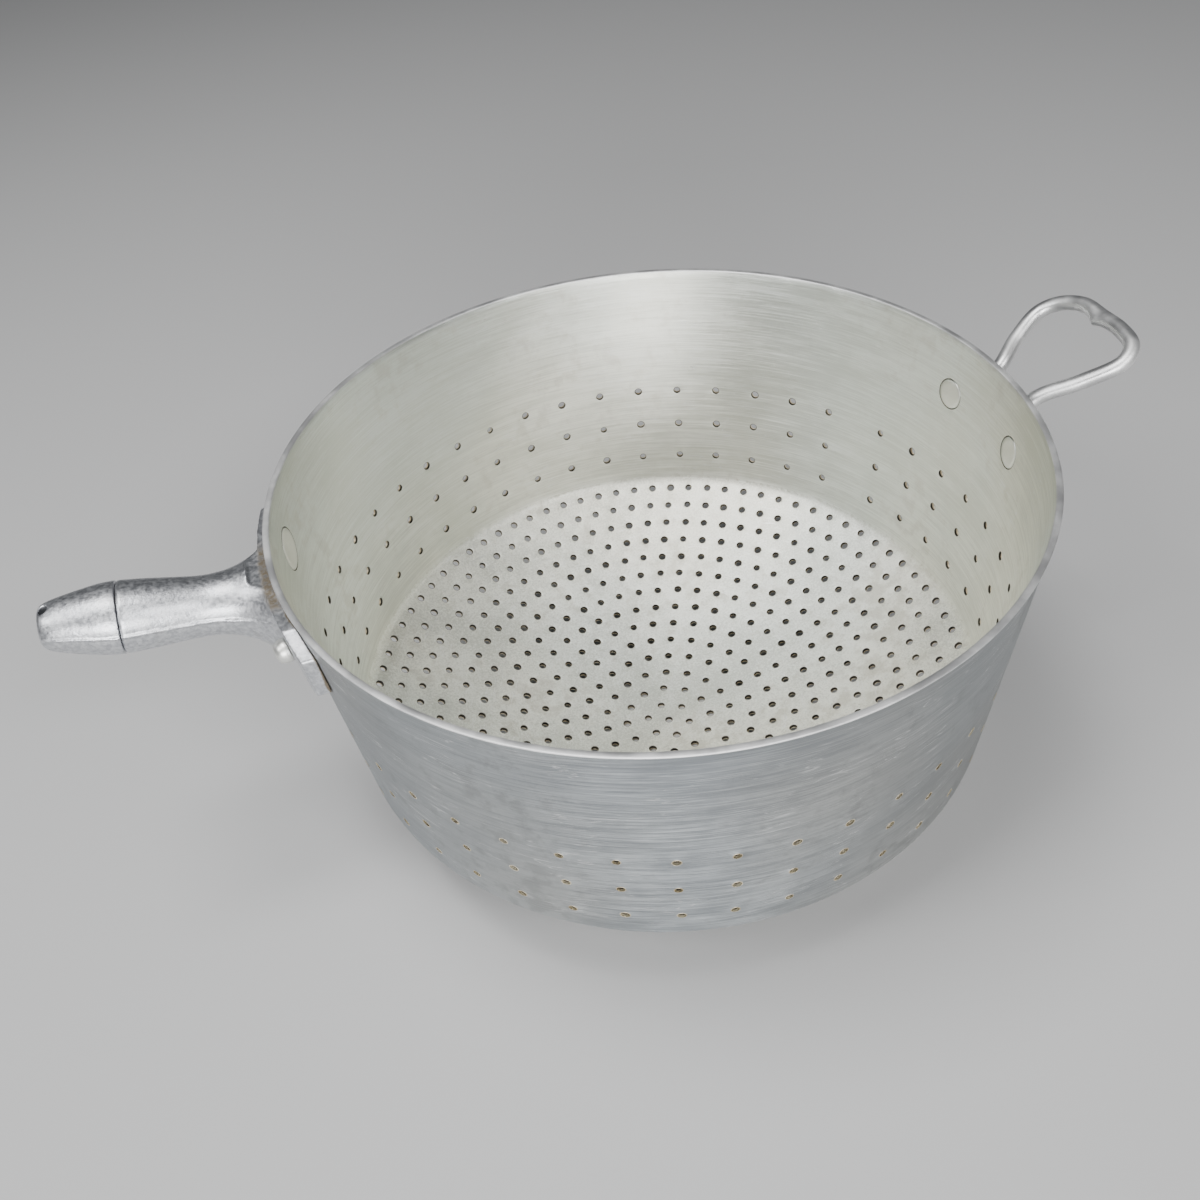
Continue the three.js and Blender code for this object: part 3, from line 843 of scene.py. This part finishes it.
class Nodes:
    """A material's node tree, with short calls to add to it."""

    def __init__(self, name):
        self.material = bpy.data.materials.new(name)
        self.material.use_nodes = True
        self.tree = self.material.node_tree
        self.shader = self.tree.nodes["Principled BSDF"]
        place = self.tree.nodes.new("ShaderNodeTexCoord").outputs["Object"]
        parts = self.add("ShaderNodeSeparateXYZ", {}, place)
        self.place = place
        self.x, self.y, self.z = parts.outputs

    def add(self, kind, settings, *inputs):
        made = self.tree.nodes.new(kind)
        for key, value in settings.items():
            setattr(made, key, value)
        for socket, value in zip(made.inputs, inputs):
            self.give(socket, value)
        return made

    def give(self, socket, value):
        if isinstance(value, bpy.types.NodeSocket):
            self.tree.links.new(value, socket)
        elif value is not None:
            socket.default_value = value

    def math(self, operation, *inputs):
        return self.add("ShaderNodeMath", {"operation": operation}, *inputs).outputs[0]

    def around_axis(self, around, across, wander=0.0):
        """Coordinates that run round the bowl's axis slowly and across its section fast."""
        radius = self.radius()
        turn = self.math("DIVIDE", around, self.math("ADD", radius, 0.004))
        along = self.math("ADD", self.z, radius)
        if wander:
            stray = self.math("MULTIPLY", self.noise(self.place, 16, 2.0), wander)
            along = self.math("ADD", along, stray)
        made = self.add(
            "ShaderNodeCombineXYZ", {},
            self.math("MULTIPLY", self.x, turn),
            self.math("MULTIPLY", self.y, turn),
            self.math("MULTIPLY", along, across),
        )
        return made.outputs[0]

    def radius(self):
        """Distance from the bowl's axis, in metres."""
        squares = [self.math("MULTIPLY", side, side) for side in (self.x, self.y)]
        return self.math("SQRT", self.math("MAXIMUM", self.math("ADD", *squares), 1e-8))

    def off_wall(self):
        """Distance outwards from the bowl's outside wall, in metres."""
        above = self.math("SUBTRACT", self.z, DISH_DEPTH * MM)
        spread = self.math("MULTIPLY", above, math.tan(WALL_LEAN))
        wall = self.math("ADD", spread, CORNER_RADIUS * MM)
        return self.math("SUBTRACT", self.radius(), wall)

    def noise(self, vector, scale, detail=3.0, roughness=0.5):
        made = self.tree.nodes.new("ShaderNodeTexNoise")
        self.give(made.inputs["Vector"], vector)
        made.inputs["Scale"].default_value = scale
        made.inputs["Detail"].default_value = detail
        made.inputs["Roughness"].default_value = roughness
        return made.outputs["Fac"]

    def levels(self, value, low, high, to_low=0.0, to_high=1.0):
        """A value's range from low to high, spread from to_low to to_high."""
        settings = {"interpolation_type": "SMOOTHSTEP"}
        ends = (low, high, to_low, to_high)
        return self.add("ShaderNodeMapRange", settings, value, *ends).outputs[0]

    def mix(self, factor, first, second):
        """A mix of two colours, which are sockets 6 and 7 of the node, with the result in 2."""
        made = self.tree.nodes.new("ShaderNodeMix")
        made.data_type = "RGBA"
        self.give(made.inputs[0], factor)
        self.give(made.inputs[6], first)
        self.give(made.inputs[7], second)
        return made.outputs[2]

    def bump(self, height, strength, distance, normal=None):
        made = self.tree.nodes.new("ShaderNodeBump")
        made.inputs["Strength"].default_value = strength
        made.inputs["Distance"].default_value = distance * MM
        self.give(made.inputs["Height"], height)
        self.give(made.inputs["Normal"], normal)
        return made.outputs[0]

    def finish(self, colour, roughness, normal, metallic=1.0, anisotropic=0.0):
        self.give(self.shader.inputs["Base Color"], colour)
        self.give(self.shader.inputs["Roughness"], roughness)
        self.give(self.shader.inputs["Normal"], normal)
        self.shader.inputs["Metallic"].default_value = metallic
        self.shader.inputs["Anisotropic"].default_value = anisotropic
        self.shader.inputs["Anisotropic Rotation"].default_value = ACROSS_BRUSHING
        return self.material


def scratches(nodes, vector, width):
    """Thin lines where a stretched noise crosses its middle value, in loose patches."""
    value = nodes.noise(vector, 1.0, 1.0, 0.4)
    away = nodes.math("ABSOLUTE", nodes.math("SUBTRACT", value, 0.5))
    line = nodes.levels(away, 0, width, 1, 0)
    patches = nodes.levels(nodes.noise(nodes.place, 55, 3.0), 0.44, 0.62)
    return nodes.math("MULTIPLY", line, patches)


def spun_metal(name, light, dark, stain, roughness, stains, brushing):
    """Spun aluminium: rings of brushing, or an even grain, with scratches and stains."""
    nodes = Nodes(name)
    if brushing:
        fine = nodes.noise(nodes.around_axis(5, 1500), 1.0, 3.0, 0.75)
        broad = nodes.noise(nodes.around_axis(2.5, 260), 1.0, 4.0, 0.65)
    else:
        fine = nodes.noise(nodes.place, 1100, 3.0, 0.7)
        broad = nodes.noise(nodes.place, 90, 5.0, 0.7)
    cloud = nodes.noise(nodes.place, 16, 5.0, 0.6)
    spots = nodes.noise(nodes.place, 130, 4.0, 0.65)
    lines = nodes.math(
        "MAXIMUM",
        scratches(nodes, nodes.around_axis(4, 420, 0.012), 0.014),
        scratches(nodes, nodes.around_axis(3, 330, 0.03), 0.010),
    )
    texture = nodes.math(
        "ADD", nodes.math("MULTIPLY", fine, 0.75), nodes.math("MULTIPLY", broad, 0.25),
    )
    texture = nodes.math("ADD", texture, nodes.levels(cloud, 0.3, 0.7, -0.1, 0.1))
    tone = nodes.mix(nodes.levels(texture, 0.34, 0.66), dark, light)
    warmth = nodes.levels(nodes.noise(nodes.place, 7, 2.0), 0.35, 0.65)
    tint = nodes.mix(warmth, COOL, WARM)
    tone = nodes.add("ShaderNodeVectorMath", {"operation": "MULTIPLY"}, tone, tint).outputs[0]
    marks = nodes.levels(nodes.math("MULTIPLY", cloud, spots), 0.27, 0.42, 0.0, stains)
    tone = nodes.mix(marks, tone, stain)
    tone = nodes.mix(nodes.math("MULTIPLY", lines, 0.5), tone, BARE_LINE)
    rough = nodes.math("ADD", nodes.levels(fine, 0.3, 0.7, -0.08, 0.08), roughness)
    rough = nodes.math("ADD", rough, nodes.levels(cloud, 0.3, 0.7, -0.05, 0.06))
    rough = nodes.math("SUBTRACT", rough, nodes.math("MULTIPLY", lines, 0.12))
    normal = nodes.bump(fine, 0.9, 0.09)
    normal = nodes.bump(spots, 0.14, 0.08, normal)
    normal = nodes.bump(lines, 0.4, -0.05, normal)
    return nodes.finish(tone, rough, normal, anisotropic=brushing)


def cast_metal(name, light, dark, stain, roughness):
    """Tumbled sand casting: grainy skin, dark pits, and a brown stain in the recesses."""
    nodes = Nodes(name)
    grain = nodes.noise(nodes.place, 1300, 2.0, 0.6)
    lumps = nodes.noise(nodes.place, 650, 3.0, 0.6)
    cloud = nodes.noise(nodes.place, 45, 4.0, 0.6)
    tone = nodes.mix(nodes.levels(lumps, 0.3, 0.7), dark, light)
    pits = nodes.levels(grain, 0.33, 0.24)
    tone = nodes.mix(nodes.math("MULTIPLY", pits, 0.5), tone, PIT)
    tone = nodes.mix(nodes.levels(cloud, 0.55, 0.75, 0, 0.3), tone, stain)
    off_wall = nodes.off_wall()
    ragged = nodes.math("ADD", off_wall, nodes.levels(cloud, 0.3, 0.7, -MM, MM))
    on_top = nodes.levels(nodes.z, (FLANGE_HEIGHT + 9) * MM, (FLANGE_HEIGHT + 12) * MM)
    near_end = nodes.levels(nodes.y, -30 * MM, -24 * MM)
    far_end = nodes.levels(nodes.y, 14 * MM, 4 * MM)
    pooled = nodes.math("MULTIPLY", on_top, nodes.levels(ragged, 6 * MM, 4 * MM))
    pooled = nodes.math("MULTIPLY", pooled, nodes.math("MULTIPLY", near_end, far_end))
    pooled = nodes.math("MULTIPLY", pooled, nodes.levels(lumps, 0.3, 0.6, 0.55, 1))
    grime = nodes.math("MAXIMUM", pooled, nodes.levels(ragged, 1.3 * MM, 0.6 * MM))
    tone = nodes.mix(nodes.math("MULTIPLY", grime, 0.85), tone, GRIME)
    rough = nodes.math("ADD", nodes.levels(lumps, 0.3, 0.7, -0.05, 0.06), roughness)
    rough = nodes.math("ADD", rough, nodes.math("MULTIPLY", grime, 0.3))
    normal = nodes.bump(grain, 0.45, 0.10)
    normal = nodes.bump(lumps, 0.12, 0.2, normal)
    return nodes.finish(tone, rough, normal)


def worn_metal(name, light, dark, roughness, grain_size):
    """Plain worn aluminium for the rim, the holes, the rivets and the wire, and the painted
    shade in the holes.
    """
    nodes = Nodes(name)
    grain = nodes.noise(nodes.place, grain_size, 3.0, 0.6)
    cloud = nodes.noise(nodes.place, 60, 4.0, 0.6)
    tone = nodes.mix(nodes.levels(cloud, 0.3, 0.7), dark, light)
    rough = nodes.math("ADD", nodes.levels(cloud, 0.3, 0.7, -0.06, 0.08), roughness)
    normal = nodes.bump(grain, 0.3, 0.08)
    return nodes.finish(tone, rough, normal)


# ---- the pieces in place ---------------------------------------------------------------


def put(piece, node, slot, *materials):
    """Rides a piece on the root, in place of its node, with its materials."""
    if len(materials) == 1:
        piece.data.materials.clear()
    for material in materials:
        piece.data.materials.append(material)
    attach(piece, "root")
    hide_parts(node)


inside = spun_metal(
    "spun_inside",
    light=(0.95, 0.955, 0.91, 1), dark=(0.74, 0.745, 0.69, 1), stain=(0.46, 0.42, 0.33, 1),
    roughness=0.46, stains=0.25, brushing=0.75,
)
dish = spun_metal(
    "spun_dish",
    light=(0.93, 0.93, 0.88, 1), dark=(0.66, 0.66, 0.60, 1), stain=(0.42, 0.38, 0.29, 1),
    roughness=0.52, stains=0.35, brushing=0,
)
# painted shade: the same spun aluminium as the inside, its colours darkened to stand for the
# dark surroundings that the outside reflects
outside = spun_metal(
    "spun_outside_painted_shade",
    light=(0.48, 0.495, 0.505, 1), dark=(0.31, 0.325, 0.34, 1), stain=(0.16, 0.16, 0.16, 1),
    roughness=0.40, stains=0.3, brushing=0.75,
)
rim_metal = worn_metal("worn_rim", (0.96, 0.96, 0.95, 1), (0.72, 0.72, 0.72, 1), 0.52, 1300)
edge_metal = worn_metal("hole_walls", (0.98, 0.91, 0.74, 1), (0.72, 0.60, 0.40, 1), 0.5, 900)
# painted shade on the walls of the holes; painted shade and stain on the dark rings round the
# holes and the rivet pockets
shade_and_stain_metal = worn_metal("hole_shade_and_stain", (0.14, 0.12, 0.09, 1), (0.05, 0.045, 0.04, 1), 0.6, 900)
handle_metal = cast_metal(
    "cast_handle",
    light=(0.70, 0.71, 0.73, 1), dark=(0.49, 0.50, 0.525, 1), stain=(0.34, 0.30, 0.25, 1),
    roughness=0.40,
)
rivet_metal = worn_metal("rivet_metal", (0.88, 0.88, 0.84, 1), (0.72, 0.72, 0.67, 1), 0.38, 700)
wire_metal = worn_metal("wire_metal", (0.93, 0.93, 0.92, 1), (0.66, 0.66, 0.66, 1), 0.43, 1100)
rod_metal = worn_metal("rod_steel", (0.40, 0.40, 0.41, 1), (0.26, 0.24, 0.22, 1), 0.45, 800)

shell_metals = (inside, outside, rim_metal, edge_metal, shade_and_stain_metal, dish)
put(bowl_mesh(), "bowl", "spun_aluminium", *shell_metals)
put(handle_grip(), "handle_grip", "cast_aluminium", handle_metal)
put(handle_tip(), "handle_tip", "cast_aluminium", handle_metal)
put(tie_rod(), "tie_rod", "rod_steel", rod_metal)
put(hook_loop(), "hook_loop", "wire_aluminium", wire_metal)
for number, (bearing, height, head) in enumerate(rivet_places()):
    group = "handle_rivet" if number < 2 else "hook_rivet"
    grip = GAP + (FLANGE_THICK if number < 2 else PAD_THICK)
    node = f"{group}_{number % 2 + 1}"
    turned = rivet(f"{node}_turned", bearing, height, head, grip)
    put(turned, node, "rivet_aluminium", rivet_metal)

# ---- floor, light and camera -----------------------------------------------------------

FLOOR_RADIUS = 25000
FLOOR_SIDES = 96
FLOOR_GREY = (0.52, 0.52, 0.52, 1)
SKY = (0.75, 0.77, 0.80, 1)
SKY_STRENGTH = 0.16
AIM = (0, 0, 0.08)             # metres, as are the lights' places and sizes

CAMERA_PLACE = Vector((-95.1, -330.6, 400.0)) * MM
CAMERA_AZIMUTH = math.radians(11.84)
CAMERA_ELEVATION = math.radians(42.88)
CAMERA_ROLL = math.radians(-6.64)
LENS = 33.965
SENSOR = 36


def floor():
    turns = [2 * math.pi * i / FLOOR_SIDES for i in range(FLOOR_SIDES)]
    edge = [(FLOOR_RADIUS * math.cos(a), FLOOR_RADIUS * math.sin(a), 0) for a in turns]
    made = make_object("floor", edge, [tuple(range(FLOOR_SIDES))])
    nodes = Nodes("pale_floor")
    nodes.finish(FLOOR_GREY, 0.8, None, metallic=0)
    made.data.materials.append(nodes.material)


def area_light(name, place, size, power):
    light = bpy.data.lights.new(name, "AREA")
    light.shape = "RECTANGLE"
    light.size, light.size_y = size
    light.energy = power
    made = bpy.data.objects.new(name, light)
    made.location = place
    made.rotation_euler = (Vector(AIM) - Vector(place)).to_track_quat("-Z", "Y").to_euler()
    bpy.context.scene.collection.objects.link(made)


def studio():
    world = bpy.data.worlds.new("studio")
    world.use_nodes = True
    background = world.node_tree.nodes["Background"]
    background.inputs["Color"].default_value = SKY
    background.inputs["Strength"].default_value = SKY_STRENGTH
    bpy.context.scene.world = world
    area_light("key", (0.4, -1.2, 1.2), (0.5, 0.4), 12)
    area_light("top", (-0.35, -0.05, 1.5), (0.7, 0.5), 14)
    area_light("left", (-1.1, -0.35, 1.2), (0.5, 0.4), 8)
    area_light("front", (-0.5, -1.6, 0.5), (0.9, 0.4), 26)


def camera():
    data = bpy.data.cameras.new("camera")
    data.lens = LENS
    data.sensor_width = SENSOR
    data.clip_start = 0.01
    made = bpy.data.objects.new("camera", data)
    turn = (
        Matrix.Rotation(-CAMERA_AZIMUTH, 4, "Z")
        @ Matrix.Rotation(math.pi / 2 - CAMERA_ELEVATION, 4, "X")
        @ Matrix.Rotation(CAMERA_ROLL, 4, "Z")
    )
    made.matrix_world = Matrix.Translation(CAMERA_PLACE) @ turn
    bpy.context.scene.collection.objects.link(made)
    bpy.context.scene.camera = made


floor()
studio()
camera()
